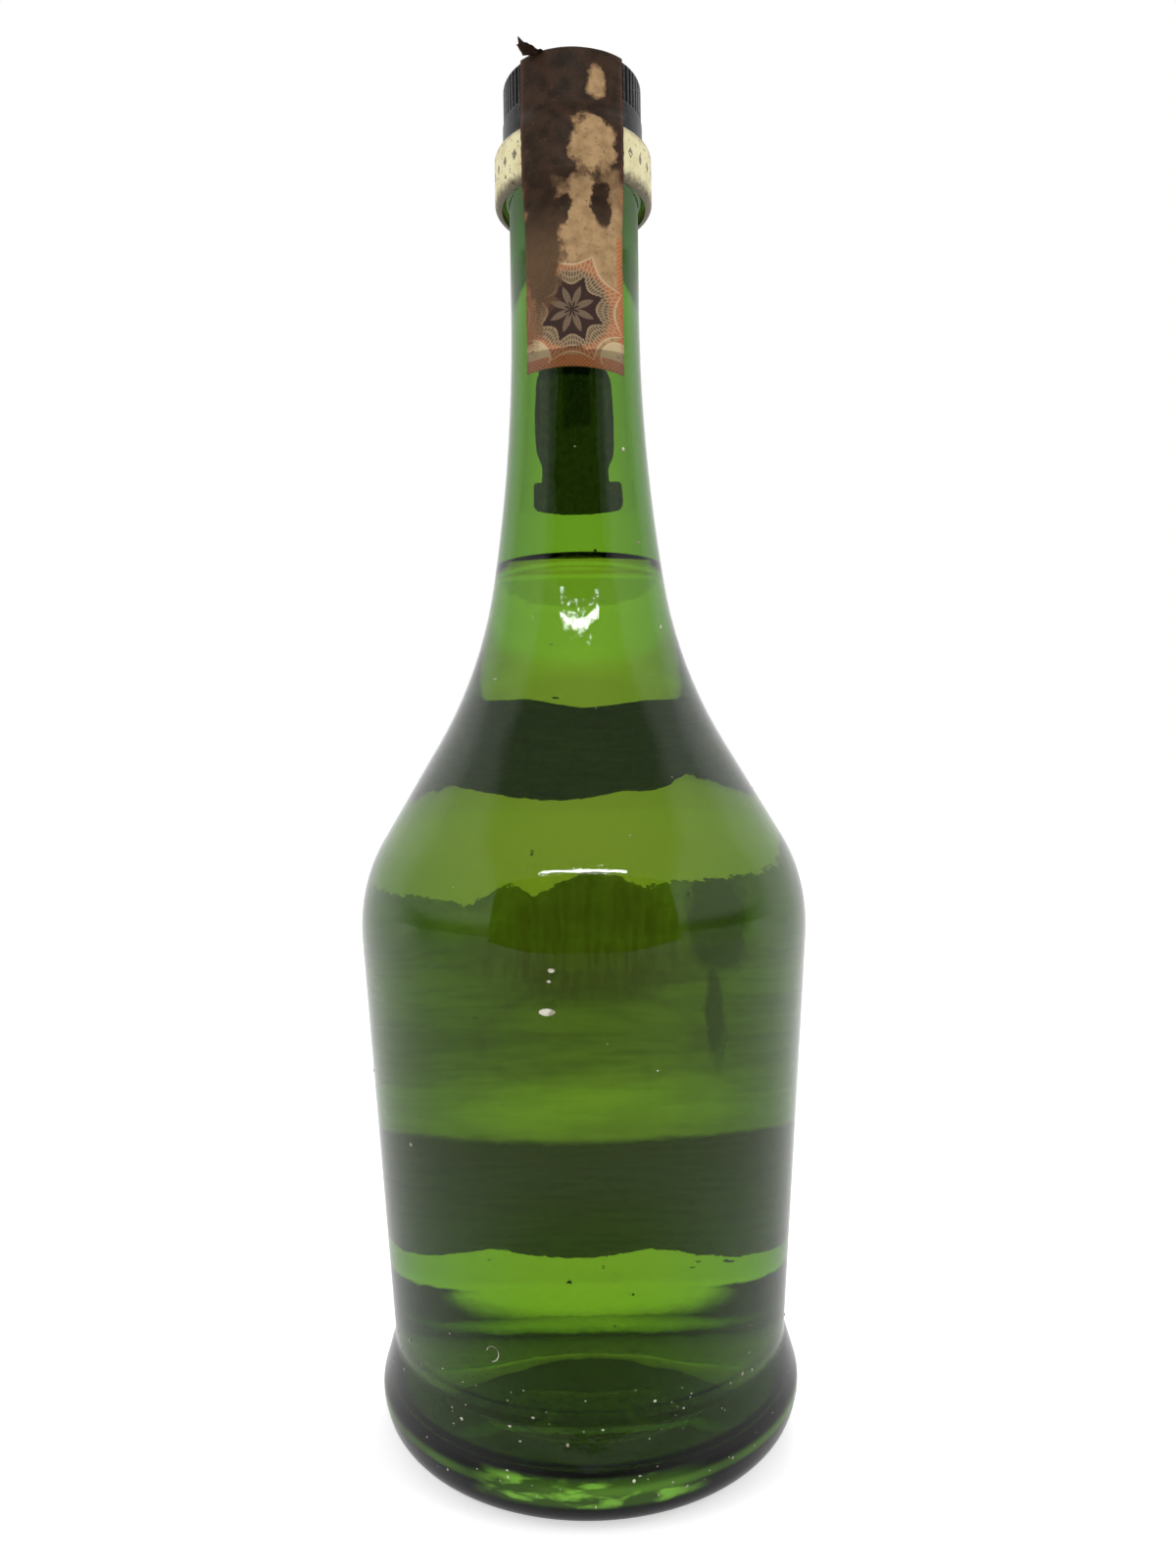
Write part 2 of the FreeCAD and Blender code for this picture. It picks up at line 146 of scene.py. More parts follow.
def new_clear_material(name, ior, tint, density):
    """A smooth, clear stuff that takes up light on its way through."""
    material, tree, shader = new_material(name)
    shader.inputs["Base Color"].default_value = (1, 1, 1, 1)
    shader.inputs["Transmission Weight"].default_value = 1.0
    shader.inputs["IOR"].default_value = ior
    shader.inputs["Roughness"].default_value = 0.0
    absorbing = tree.nodes.new("ShaderNodeVolumeAbsorption")
    absorbing.inputs["Color"].default_value = (*tint, 1)
    absorbing.inputs["Density"].default_value = density
    tree.links.new(absorbing.outputs["Volume"], tree.nodes["Material Output"].inputs["Volume"])
    return material, tree, shader


def calc(tree, operation, *values):
    """One sum of a material, of sockets and numbers."""
    node = tree.nodes.new("ShaderNodeMath")
    node.operation = operation
    for socket, value in zip(node.inputs, values):
        if isinstance(value, (int, float)):
            socket.default_value = value
        else:
            tree.links.new(value, socket)
    return node.outputs[0]


def times(tree, *values):
    """Masks or numbers multiplied together."""
    product = values[0]
    for value in values[1:]:
        product = calc(tree, "MULTIPLY", product, value)
    return product


def distance(tree, one, other):
    """How far off a point is, of its two measures at right angles."""
    squares = [calc(tree, "POWER", measure, 2) for measure in (one, other)]
    return calc(tree, "SQRT", calc(tree, "ADD", *squares))


def between(tree, value, low, high):
    """0 at low, 1 at high, and smooth from one to the other."""
    node = tree.nodes.new("ShaderNodeMapRange")
    node.interpolation_type = "SMOOTHSTEP"
    node.inputs["From Min"].default_value = low
    node.inputs["From Max"].default_value = high
    tree.links.new(value, node.inputs["Value"])
    return node.outputs["Result"]


def paint(tree, under, over, share, strength=1):
    """One colour laid over another in a share, each a socket or a plain colour."""
    if strength != 1:
        share = times(tree, share, strength)
    node = tree.nodes.new("ShaderNodeMix")
    node.data_type = "RGBA"
    tree.links.new(share, node.inputs["Factor"])
    for name, colour in (("A", under), ("B", over)):
        socket = [item for item in node.inputs if item.name == name and item.type == "RGBA"][0]
        if isinstance(colour, tuple):
            socket.default_value = (*colour, 1)
        else:
            tree.links.new(colour, socket)
    return [item for item in node.outputs if item.type == "RGBA"][0]


def place_in_mm(tree, uv_map=""):
    """Where a point of the piece is, in millimetres: on its own sheet, or else on the bottle."""
    if uv_map:
        sheet = tree.nodes.new("ShaderNodeUVMap")
        sheet.uv_map = uv_map
        return sheet.outputs["UV"]
    place = tree.nodes.new("ShaderNodeTexCoord")
    scale = tree.nodes.new("ShaderNodeVectorMath")
    scale.operation = "SCALE"
    scale.inputs["Scale"].default_value = 1000
    tree.links.new(place.outputs["Object"], scale.inputs[0])
    return scale.outputs["Vector"]


def grain(tree, place, scale, detail=3, stretch=(1, 1, 1)):
    """A noise over a place, stretched along its axes."""
    squeeze = tree.nodes.new("ShaderNodeVectorMath")
    squeeze.operation = "MULTIPLY"
    squeeze.inputs[1].default_value = stretch
    tree.links.new(place, squeeze.inputs[0])
    texture = tree.nodes.new("ShaderNodeTexNoise")
    texture.inputs["Scale"].default_value = scale
    texture.inputs["Detail"].default_value = detail
    tree.links.new(squeeze.outputs["Vector"], texture.inputs["Vector"])
    return texture.outputs["Fac"]


def split_place(tree, place):
    """The three measures of a place or a direction."""
    parts = tree.nodes.new("ShaderNodeSeparateXYZ")
    tree.links.new(place, parts.inputs["Vector"])
    return parts.outputs


def roughen(tree, shader, height, depth, strength=1.0):
    """Give the shader a relief of that depth in metres."""
    bump = tree.nodes.new("ShaderNodeBump")
    bump.inputs["Distance"].default_value = depth
    bump.inputs["Strength"].default_value = strength
    tree.links.new(height, bump.inputs["Height"])
    tree.links.new(bump.outputs["Normal"], shader.inputs["Normal"])


green_glass, tree, shader = new_clear_material("green_glass", 1.5, (0.564, 0.746, 0.096), 700)
place = place_in_mm(tree)
waves = calc(tree, "MULTIPLY_ADD", grain(tree, place, 0.3, 3), 0.12, grain(tree, place, 0.038, 2))
roughen(tree, shader, waves, 0.0006, 0.25)

# painted glow: the glass gives off a lime light of its own, standing in for light that the wall
# leads along itself. It comes out under the ring, and at the heel: in a broken line all round, and
# in patches at the front
across, deep, up = split_place(tree, place)
heel_line = times(tree, between(tree, up, 7.6, 8.6), between(tree, up, 10.2, 9.0))
heel_line = times(tree, heel_line, between(tree, grain(tree, place, 0.05, 2), 0.3, 0.6))
heel_band = times(tree, between(tree, up, 5.2, 6.4), between(tree, up, 11.6, 10.2))
from_front = calc(tree, "ADD", calc(tree, "ABSOLUTE", across), times(tree, deep, 0.5))
heel_front = between(tree, from_front, 4.0, -8.0)
heel_patches = between(tree, grain(tree, place, 0.13, 4, (1, 1, 3.5)), 0.46, 0.6)
heel_patches = calc(tree, "MULTIPLY_ADD", heel_patches, 0.8, 0.2)
heel_patches = times(tree, heel_patches, times(tree, heel_band, heel_front))
painted_glass_glow = calc(tree, "MULTIPLY_ADD", heel_patches, 0.35, times(tree, heel_line, 0.1))
on_outside = between(tree, distance(tree, across, deep), 43.0, 43.8)
painted_glass_glow = times(tree, painted_glass_glow, on_outside)
painted_glass_glow = calc(tree, "MULTIPLY_ADD", between(tree, up, 228.0, 250.0), 0.05, painted_glass_glow)
painted_lime_glow = paint(tree, (0, 0, 0), (0.42, 1.0, 0.1), painted_glass_glow)
tree.links.new(painted_lime_glow, shader.inputs["Emission Color"])
shader.inputs["Emission Strength"].default_value = 1.0

bottle_mesh = bmesh.new()
line_with_bends(bottle_mesh, GLASS_OUTSIDE + GLASS_INSIDE)
turn_full(bottle_mesh, 256)
bottle = finish_piece("blown_glass", bottle_mesh, green_glass, slot="green_glass")
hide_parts("bottle_glass")

# The drink: a clear spirit that fills the bottle to the root of the neck. It reaches a little
# into the wall, so no air shows between them, and climbs the wall in a narrow meniscus.
DRINK = [
    (0, 180.7, 0),
    (12.2, 180.7, 3),
    (15.12, 183.0, 0),
    (18.45, 160.2, 98.2),
    (45.55, 114.5, 35.86),
    (38.85, 19.4, 8),
    (41.75, 7.85, 3.5),
    (25, 7.85, 8),
    (12, 13.85, 16),
    (0, 13.85, 0),
]
clear_spirit, tree, shader = new_clear_material("clear_spirit", 1.36, (0.76, 0.5, 0.2), 5)
drink_mesh = bmesh.new()
line_with_bends(drink_mesh, DRINK)
turn_full(drink_mesh, 192)
drink = finish_piece("clear_spirit", drink_mesh, clear_spirit, slot="drink")
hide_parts("grappa")

# The screw cap: black plastic, moulded with fine upright ribs above a smooth band, rubbed grey on
# the ribs and dusty between them.
RIB_FOOT, RIB_TOP = 14.75, 15.1
cap_black, tree, shader = new_material("cap_black")
place = place_in_mm(tree)
across, deep = split_place(tree, place)[:2]
scuffs = between(tree, grain(tree, place, 1.3, 5), 0.48, 0.72)
on_ribs = between(tree, distance(tree, across, deep), RIB_FOOT, RIB_TOP)
black = paint(tree, (0.008, 0.008, 0.009), (0.05, 0.049, 0.052), times(tree, on_ribs, scuffs))
dust = between(tree, grain(tree, place, 0.6, 6), 0.55, 0.75)
black = paint(tree, black, (0.07, 0.062, 0.05), dust, 0.25)
tree.links.new(black, shader.inputs["Base Color"])
tree.links.new(calc(tree, "MULTIPLY_ADD", scuffs, 0.25, 0.3), shader.inputs["Roughness"])
shader.inputs["Specular IOR Level"].default_value = 0.22
roughen(tree, shader, grain(tree, place, 4, 3), 0.00005, 0.5)
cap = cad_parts["screw_cap"]
cap.data.materials.clear()
cap.data.materials.append(cap_black)

# The ring under the cap: cream plastic pressed over the bead of the glass, with a row of small
# printed lozenges, yellowed, and dark with dirt along its edges.
LOZENGES = 32
LOZENGE_HEIGHT = 267.2


def rest(tree, mask):
    """All that a mask leaves out."""
    return calc(tree, "SUBTRACT", 1.0, mask)


def apart(tree, value, middle):
    """How far a value is from a number, to either side."""
    return calc(tree, "ABSOLUTE", calc(tree, "SUBTRACT", value, middle))


def most(tree, *masks):
    """Several masks in one."""
    together = masks[0]
    for mask in masks[1:]:
        together = calc(tree, "MAXIMUM", together, mask)
    return together


def let_light_through(tree, shader, colour, share):
    """Thin stuff: its colour both thrown back and, in some share, let through."""
    through = tree.nodes.new("ShaderNodeBsdfTranslucent")
    join = tree.nodes.new("ShaderNodeMixShader")
    tree.links.new(colour, shader.inputs["Base Color"])
    tree.links.new(colour, through.inputs["Color"])
    join.inputs[0].default_value = share
    tree.links.new(shader.outputs["BSDF"], join.inputs[1])
    tree.links.new(through.outputs["BSDF"], join.inputs[2])
    tree.links.new(join.outputs["Shader"], tree.nodes["Material Output"].inputs["Surface"])


ring_cream, tree, shader = new_material("ring_cream")
place = place_in_mm(tree)
across, deep, up = split_place(tree, place)
yellowed = between(tree, grain(tree, place, 0.25, 4), 0.4, 0.7)
cream = paint(tree, (0.78, 0.71, 0.42), (0.66, 0.58, 0.31), yellowed)
turn = calc(tree, "ARCTAN2", across, times(tree, deep, -1))
step = calc(tree, "FRACT", calc(tree, "MULTIPLY_ADD", turn, LOZENGES / (2 * math.pi), 0.5))
aside = times(tree, apart(tree, step, 0.5), 4.2)
lozenge = calc(tree, "ADD", aside, times(tree, apart(tree, up, LOZENGE_HEIGHT), 0.75))
ink = rest(tree, between(tree, lozenge, 0.85, 1.0))
worn_print = between(tree, grain(tree, place, 1.6, 4), 0.3, 0.5)
ink = times(tree, ink, times(tree, worn_print, 0.85))
cream = paint(tree, cream, (0.085, 0.07, 0.05), ink)
low_edge = calc(tree, "ADD", up, times(tree, grain(tree, place, 0.8, 5), 3.0))
high_edge = calc(tree, "SUBTRACT", up, times(tree, grain(tree, place, 0.7, 5), 3.2))
dirt = most(tree, between(tree, low_edge, 265.6, 262.6), between(tree, high_edge, 268.8, 271.6))
cream = paint(tree, cream, (0.055, 0.035, 0.018), dirt, 0.85)
specks = between(tree, grain(tree, place, 1.1, 6), 0.6, 0.68)
cream = paint(tree, cream, (0.05, 0.03, 0.015), specks, 0.8)
let_light_through(tree, shader, cream, 0.12)
matt = calc(tree, "MULTIPLY_ADD", grain(tree, place, 2, 3), 0.3, 0.3)
tree.links.new(matt, shader.inputs["Roughness"])
roughen(tree, shader, grain(tree, place, 1.5, 4), 0.0001, 0.6)
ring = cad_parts["collar"]
ring.data.materials.clear()
ring.data.materials.append(ring_cream)

# The tax strip: a banknote-like paper strip glued from the neck over the cap and down the far
# side. It is creased over the ring, torn at the cap's edge, and stained almost black by drink.
STRIP_WIDTH = 21.2
STRIP_THICKNESS = 0.12
CAP_RADIUS = 15.4
CAP_TOP = 287
STRIP_GAP = 0.1
STRIP_PATH = [
    (14.15, 221, 0),
    (14.15, 256.4, 6),
    (17.27, 261.5, 1.2),
    (17.27, 271.9, 1.2),
    (15.4, 275.9, 3),
    (15.4, 287.67, 0.8),
    (-15.4, 287.67, 0.8),
    (-15.4, 275.9, 3),
    (-17.27, 271.9, 1.2),
    (-17.27, 261.5, 1.2),
    (-14.15, 256.4, 6),
    (-14.15, 236, 0),
]


def points_along(corners, steps=10):
    """The points of a wire with bends, in their order."""
    wire = bmesh.new()
    at = line_with_bends(wire, corners, steps)[0][0]
    points = [at.co.copy()]
    behind = None
    while True:
        ahead = [edge for edge in at.link_edges if edge is not behind]
        if not ahead:
            break
        behind = ahead[0]
        at = behind.other_vert(at)
        points.append(at.co.copy())
    wire.free()
    return points


strip_points = points_along(STRIP_PATH, 6)
strip_lengths = [0.0]
for one, other in zip(strip_points, strip_points[1:]):
    strip_lengths.append(strip_lengths[-1] + (other - one).length)
STRIP_LENGTH = strip_lengths[-1]


def strip_place(across, along):
    """Where a point of the flat strip comes to lie on the closed bottle."""
    along = min(max(along, 0), STRIP_LENGTH - 0.001)
    i = max(k for k, length in enumerate(strip_lengths[:-1]) if length <= along)
    share = (along - strip_lengths[i]) / (strip_lengths[i + 1] - strip_lengths[i])
    on_path = strip_points[i].lerp(strip_points[i + 1], share)
    facing = (strip_points[i + 1] - strip_points[i]).normalized()
    out = max(abs(on_path.x), 1e-6)
    reach = max(out, CAP_RADIUS) if on_path.z > CAP_TOP else out
    chord = math.sqrt(reach ** 2 - across ** 2)
    spot = Vector((across, -on_path.x * chord / reach, on_path.z))
    lift = Vector((across / reach * facing.z, -facing.z * chord / reach, -facing.x))
    return spot, lift


def looseness(along):
    """How far the strip stands off, most where it crosses the ring's two edges."""
    below_ring = math.exp(-((along - 38) / 4) ** 2)
    above_ring = math.exp(-((along - 54) / 3) ** 2)
    return 0.35 + 0.65 * (below_ring + above_ring)


strip_mesh = bmesh.new()
bmesh.ops.create_grid(strip_mesh, x_segments=40, y_segments=320, size=0.5)
flat = strip_mesh.loops.layers.uv.new("flat")
for face in strip_mesh.faces:
    for loop in face.loops:
        corner = loop.vert.co
        loop[flat].uv = (corner.x * STRIP_WIDTH, (corner.y + 0.5) * STRIP_LENGTH)
for point in strip_mesh.verts:
    across = point.co.x * STRIP_WIDTH
    along = (point.co.y + 0.5) * STRIP_LENGTH
    on_neck = 1 - min(max((along - 30) / 15, 0), 1)
    width = 1 - 0.045 * on_neck
    ragged = noise.noise(Vector((across * 0.3, along * 0.9, 7))) * (abs(across) > 10.5)
    arch = (0.9 - 0.03 * across - 0.4 * (across / 10.6) ** 2) * max(0, 1 - along / 8)
    spot, lift = strip_place(across * width + 0.12 * ragged, along + arch)
    crease = noise.noise(Vector((across * 0.16, along * 0.5, 3))) * 0.14
    crease += noise.noise(Vector((across * 0.6, along * 0.7, 11))) * 0.05
    point.co = spot + lift * (STRIP_GAP + (0.1 + crease) * looseness(along))
bmesh.ops.recalc_face_normals(strip_mesh, faces=strip_mesh.faces)
bmesh.ops.solidify(strip_mesh, geom=strip_mesh.faces[:], thickness=STRIP_THICKNESS)


def new_group(name, inputs, outputs):
    """An empty shader group with its named sockets."""
    group = bpy.data.node_groups.new(name, "ShaderNodeTree")
    for label, kind, value in inputs:
        socket = group.interface.new_socket(label, in_out="INPUT", socket_type=kind)
        socket.default_value = value
    for label, kind in outputs:
        group.interface.new_socket(label, in_out="OUTPUT", socket_type=kind)
    return group, group.nodes.new("NodeGroupInput"), group.nodes.new("NodeGroupOutput")


ragged_patch, given, result = new_group(
    "ragged_patch",
    [
        ("Place", "NodeSocketVector", (0, 0, 0)),
        ("Centre", "NodeSocketVector", (0, 0, 0)),
        ("Half Size", "NodeSocketVector", (1, 1, 1)),
        ("Ragged", "NodeSocketFloat", 1.0),
        ("Soft", "NodeSocketFloat", 0.2),
    ],
    [("Mask", "NodeSocketFloat")],
)
frayed = ragged_patch.nodes.new("ShaderNodeTexNoise")
frayed.inputs["Scale"].default_value = 0.24
frayed.inputs["Detail"].default_value = 7
frayed.inputs["Roughness"].default_value = 0.62
ragged_patch.links.new(given.outputs["Place"], frayed.inputs["Vector"])
chain = frayed.outputs["Color"]
for operation, other in (
    ("SUBTRACT", (0.5, 0.5, 0.5)),
    ("SCALE", given.outputs["Ragged"]),
    ("ADD", given.outputs["Place"]),
    ("SUBTRACT", given.outputs["Centre"]),
    ("DIVIDE", given.outputs["Half Size"]),
):
    node = ragged_patch.nodes.new("ShaderNodeVectorMath")
    node.operation = operation
    ragged_patch.links.new(chain, node.inputs[0])
    if operation == "SCALE":
        ragged_patch.links.new(other, node.inputs["Scale"])
    elif isinstance(other, tuple):
        node.inputs[1].default_value = other
    else:
        ragged_patch.links.new(other, node.inputs[1])
    chain = node.outputs["Vector"]
length = ragged_patch.nodes.new("ShaderNodeVectorMath")
length.operation = "LENGTH"
ragged_patch.links.new(chain, length.inputs[0])
edge = calc(ragged_patch, "SUBTRACT", length.outputs["Value"], 1.0)
edge = calc(ragged_patch, "DIVIDE", edge, given.outputs["Soft"])
ragged_patch.links.new(between(ragged_patch, edge, 1.0, -1.0), result.inputs["Mask"])


def patch(tree, place, centre, half_size, ragged=1.0, soft=0.2):
    """A stain, a hole in a stain or a printed spot: 1 inside an uneven oval, 0 outside."""
    node = tree.nodes.new("ShaderNodeGroup")
    node.node_tree = ragged_patch
    node.inputs["Centre"].default_value = (*centre, 0) if len(centre) == 2 else centre
    node.inputs["Half Size"].default_value = (*half_size, 1e6) if len(half_size) == 2 else half_size
    node.inputs["Ragged"].default_value = ragged
    node.inputs["Soft"].default_value = soft
    tree.links.new(place, node.inputs["Place"])
    return node.outputs["Mask"]


def stripes(tree, measure, rate, low, high):
    """Even soft stripes across a measure."""
    return between(tree, calc(tree, "SINE", times(tree, measure, rate)), low, high)


ROSETTE_ASIDE = 0.6
ROSETTE_HEIGHT = 12.8
PETALS = 8
HATCH_LINES = 76.0
BORDER_HEIGHT = 2.6
CORNER_RADIUS = 4.1

strip_paper, tree, shader = new_material("strip_paper")
place = place_in_mm(tree, "flat")
across, along = split_place(tree, place)[:2]
fibres = grain(tree, place, 1.2, 6)
cloudy = grain(tree, place, 0.35, 5)
tan_paper = paint(tree, (0.40, 0.26, 0.13), (0.27, 0.17, 0.08), between(tree, cloudy, 0.35, 0.7))
tan_paper = paint(tree, tan_paper, (0.2, 0.12, 0.06), between(tree, fibres, 0.45, 0.75), 0.3)

# the printed end: a rosette of eight petals in a star, in a hatched surround
from_middle = calc(tree, "ADD", across, ROSETTE_ASIDE)
above_middle = calc(tree, "SUBTRACT", along, ROSETTE_HEIGHT)
away = distance(tree, from_middle, above_middle)
bearing = calc(tree, "ARCTAN2", above_middle, from_middle)
petal = calc(tree, "FRACT", calc(tree, "MULTIPLY_ADD", bearing, PETALS / (2 * math.pi), PETALS))
to_tip = rest(tree, times(tree, apart(tree, petal, 0.5), 2.0))
tip = calc(tree, "POWER", to_tip, 2.2)
star_edge = calc(tree, "MULTIPLY_ADD", tip, 2.0, 5.1)
in_star = between(tree, calc(tree, "SUBTRACT", star_edge, away), -0.1, 0.1)
petal_edge = times(tree, calc(tree, "POWER", calc(tree, "ADD", to_tip, 0.001), 0.55), 5.2)
petal_depth = calc(tree, "SUBTRACT", petal_edge, away)
petal_lines = stripes(tree, petal_depth, 9.0, -0.3, 0.3)
petal_ink = calc(tree, "MULTIPLY_ADD", petal_lines, 0.35, 0.5)
petal_ink = times(tree, between(tree, petal_depth, 0.05, 0.25), petal_ink)
in_heart = between(tree, calc(tree, "SUBTRACT", times(tree, to_tip, 1.9), away), -0.1, 0.15)
surround_edge = calc(tree, "MULTIPLY_ADD", tip, 2.5, 9.3)
surround_depth = calc(tree, "SUBTRACT", surround_edge, away)
hatch = stripes(tree, bearing, HATCH_LINES, -0.2, 0.5)
rings = stripes(tree, surround_depth, 5.2, 0.2, 0.8)
outline = rest(tree, between(tree, calc(tree, "ABSOLUTE", surround_depth), 0.08, 0.2))
to_orange = between(tree, away, 7.4, 9.2)
hatching = paint(tree, (0.085, 0.06, 0.04), (0.36, 0.12, 0.05), to_orange)
hatching = paint(tree, hatching, (0.42, 0.3, 0.17), most(tree, hatch, rings), 0.55)

# the woven border along the end and the sides, with a pale quarter round in each corner
from_fold = calc(tree, "ABSOLUTE", across)
near_edge = between(tree, from_fold, 9.2, 9.4)
low_border = between(tree, along, BORDER_HEIGHT + 0.4, BORDER_HEIGHT)
side_border = times(tree, near_edge, between(tree, along, 30.0, 28.0))
weave = stripes(tree, calc(tree, "ADD", across, along), 7.0, -0.6, 0.6)
weave_too = stripes(tree, calc(tree, "SUBTRACT", across, along), 7.0, -0.6, 0.6)
border_ink = paint(tree, (0.37, 0.12, 0.045), (0.44, 0.26, 0.13), times(tree, weave, weave_too))
corner = calc(tree, "SUBTRACT", from_fold, 9.6)
corner_away = distance(tree, corner, calc(tree, "SUBTRACT", along, BORDER_HEIGHT))
quarter = between(tree, corner_away, CORNER_RADIUS, CORNER_RADIUS - 0.2)
quarter = times(tree, quarter, between(tree, along, BORDER_HEIGHT, BORDER_HEIGHT + 0.2))
quarter_line = rest(tree, between(tree, apart(tree, corner_away, CORNER_RADIUS), 0.1, 0.25))
fine_lines = times(tree, between(tree, along, 1.0, 1.4), 0.8)
fine_lines = times(tree, most(tree, outline, quarter_line), fine_lines)
side_line = between(tree, from_fold, 9.5, 10.4)
printed = tan_paper
for colour, mask in (
    (hatching, between(tree, surround_depth, 0.0, 0.15)),
    (border_ink, most(tree, low_border, side_border)),
    ((0.46, 0.36, 0.2), quarter),
    ((0.55, 0.42, 0.26), fine_lines),
    ((0.04, 0.022, 0.018), in_star),
    ((0.2, 0.14, 0.09), petal_ink),
    ((0.02, 0.012, 0.01), in_heart),
    ((0.27, 0.075, 0.03), times(tree, side_line, 0.35)),
):
    printed = paint(tree, printed, colour, mask)

# the stains of the drink, darkest on the cap, with paler islands and a drip
flow = calc(tree, "MULTIPLY_ADD", grain(tree, place, 0.16, 5), 22.0, -11.0)
soaked = between(tree, calc(tree, "ADD", along, flow), 33.0, 41.0)
left_drip = patch(tree, place, (-7.2, 29), (4.8, 16), 9.0, 0.2)
left_drip_low = patch(tree, place, (-9.4, 16), (2.6, 11), 6.0, 0.3)
right_blot = patch(tree, place, (6.0, 35.0), (2.2, 4.6), 6.0, 0.15)
middle_blot = patch(tree, place, (-2.6, 33.5), (1.6, 3.6), 6.0, 0.2)
pale_islands = most(
    tree,
    patch(tree, place, (4.2, 46.5), (4.8, 6.0), 8.0, 0.12),
    patch(tree, place, (5.0, 60.5), (1.5, 3.0), 5.0, 0.3),
    patch(tree, place, (1.6, 33.0), (3.6, 7.6), 8.0, 0.15),
)
dried = times(tree, most(tree, soaked, left_drip), rest(tree, pale_islands))
dried = most(tree, dried, right_blot, times(tree, left_drip_low, 0.7), middle_blot)
tide_line = rest(tree, calc(tree, "ABSOLUTE", calc(tree, "MULTIPLY_ADD", dried, 2.0, -1.0)))
depths = between(tree, grain(tree, place, 0.3, 6), 0.3, 0.7)
dark = paint(tree, (0.004, 0.002, 0.002), (0.03, 0.013, 0.008), depths)
dark = paint(tree, dark, (0.11, 0.062, 0.03), between(tree, along, 36.0, 24.0), 0.75)
crumbs = between(tree, grain(tree, place, 2.6, 6), 0.62, 0.7)
golden = patch(tree, place, (-6.0, 56), (4.5, 11), 4.0, 0.6)
golden = times(tree, crumbs, calc(tree, "MULTIPLY_ADD", golden, 0.6, 0.15))
foxing = between(tree, grain(tree, place, 0.9, 6), 0.61, 0.69)
stained = printed
for colour, mask, strength in (
    (dark, dried, 0.95),
    ((0.2, 0.1, 0.05), tide_line, 0.35),
    ((0.2, 0.06, 0.03), times(tree, side_line, between(tree, along, 30, 40)), 0.15),
    ((0.22, 0.14, 0.07), golden, 1),
    ((0.07, 0.04, 0.02), foxing, 0.55),
):
    stained = paint(tree, stained, colour, mask, strength)
tree.links.new(stained, shader.inputs["Base Color"])
shader.inputs["Specular IOR Level"].default_value = 0.12
tree.links.new(calc(tree, "MULTIPLY_ADD", dried, -0.3, 0.82), shader.inputs["Roughness"])
crackle = calc(tree, "MULTIPLY_ADD", fibres, 0.3, times(tree, crumbs, dried, 1.2))
roughen(tree, shader, crackle, 0.00025, 0.8)
strip = finish_piece("tax_strip_paper", strip_mesh, strip_paper, slot="strip_paper")
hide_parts("tax_strip")

# A flake that has torn loose where the strip bends over the cap's edge, curled up and frayed.
flake_mesh = bmesh.new()
bmesh.ops.create_grid(flake_mesh, x_segments=24, y_segments=16, size=0.5)
flat = flake_mesh.loops.layers.uv.new("flat")
for face in flake_mesh.faces:
    for loop in face.loops:
        corner = loop.vert.co
        loop[flat].uv = (-8 + corner.x * 5, 66 + corner.y * 3.5)
for point in flake_mesh.verts:
    across = point.co.x
    forward = point.co.y + 0.5
    torn = noise.noise(Vector((across * 6, 3, 1)))
    reach = (4.6 - 5.2 * abs(across + 0.22) + 1.6 * torn) * forward
    ripple = 0.25 * noise.noise(Vector((across * 5, forward * 3, 1)))
    point.co = Vector((
        -7.6 + 5.0 * across - 0.35 * reach,
        -13.1 - reach,
        287.2 + ripple + 0.25 * math.sin(2.4 * forward),
    ))
bmesh.ops.recalc_face_normals(flake_mesh, faces=flake_mesh.faces)
bmesh.ops.solidify(flake_mesh, geom=flake_mesh.faces[:], thickness=STRIP_THICKNESS)
finish_piece("torn_flake", flake_mesh, strip_paper, slot="strip_paper")

# The labels: cream paper glued round the far side of the glass. Seen through the bottle their
# backs show, with the streaks of the glue, and light comes through the paper.
LABEL_THICKNESS = 0.26
GLUE_DEPTH = 0.04
GOLD = (0.42, 0.27, 0.08)
WALL_LINE = [(42, 19.2, 0)] + GLASS_OUTSIDE[6:]
GLASS_LINE = [(point.z, point.x) for point in points_along(WALL_LINE, 12)]


def radius_on(line, up):
    """How far a line of (up, out) points stands from the bottle's middle at a height."""
    for (low, inner), (high, outer) in zip(line, line[1:]):
        if low <= up <= high:
            return inner + (outer - inner) * (up - low) / max(high - low, 1e-9)
    return line[0][1]


def glue_on(name, outline, materials, width, low, high):
    """Cut a label along its outline, bend it round the glass and give it its thickness."""
    mesh = bmesh.new()
    ends = line_with_bends(mesh, outline, 6)
    mesh.edges.new((ends[-1][1], ends[0][0]))
    bmesh.ops.contextual_create(mesh, geom=mesh.edges[:])
    cuts = [((across, 0, 0), (1, 0, 0)) for across in range(-width, width + 1)]
    cuts += [((0, 0, up), (0, 0, 1)) for up in range(low, high, 2)]
    for spot, normal in cuts:
        whole = mesh.verts[:] + mesh.edges[:] + mesh.faces[:]
        bmesh.ops.bisect_plane(mesh, geom=whole, plane_co=spot, plane_no=normal)
    for point in mesh.verts:
        radius = radius_on(GLASS_LINE, point.co.z) - GLUE_DEPTH
        point.co.y = math.sqrt(radius ** 2 - point.co.x ** 2)
    bmesh.ops.recalc_face_normals(mesh, faces=mesh.faces)
    if sum(face.normal.y for face in mesh.faces) > 0:
        bmesh.ops.reverse_faces(mesh, faces=mesh.faces)
    bmesh.ops.solidify(mesh, geom=mesh.faces[:], thickness=LABEL_THICKNESS)
    mesh.normal_update()
    for face in mesh.faces:
        middle = face.calc_center_median()
        outward = face.normal.x * middle.x + face.normal.y * middle.y
        face.material_index = 0 if outward > 0 else 1
    return finish_piece(name, mesh, *materials, slot="label_paper")


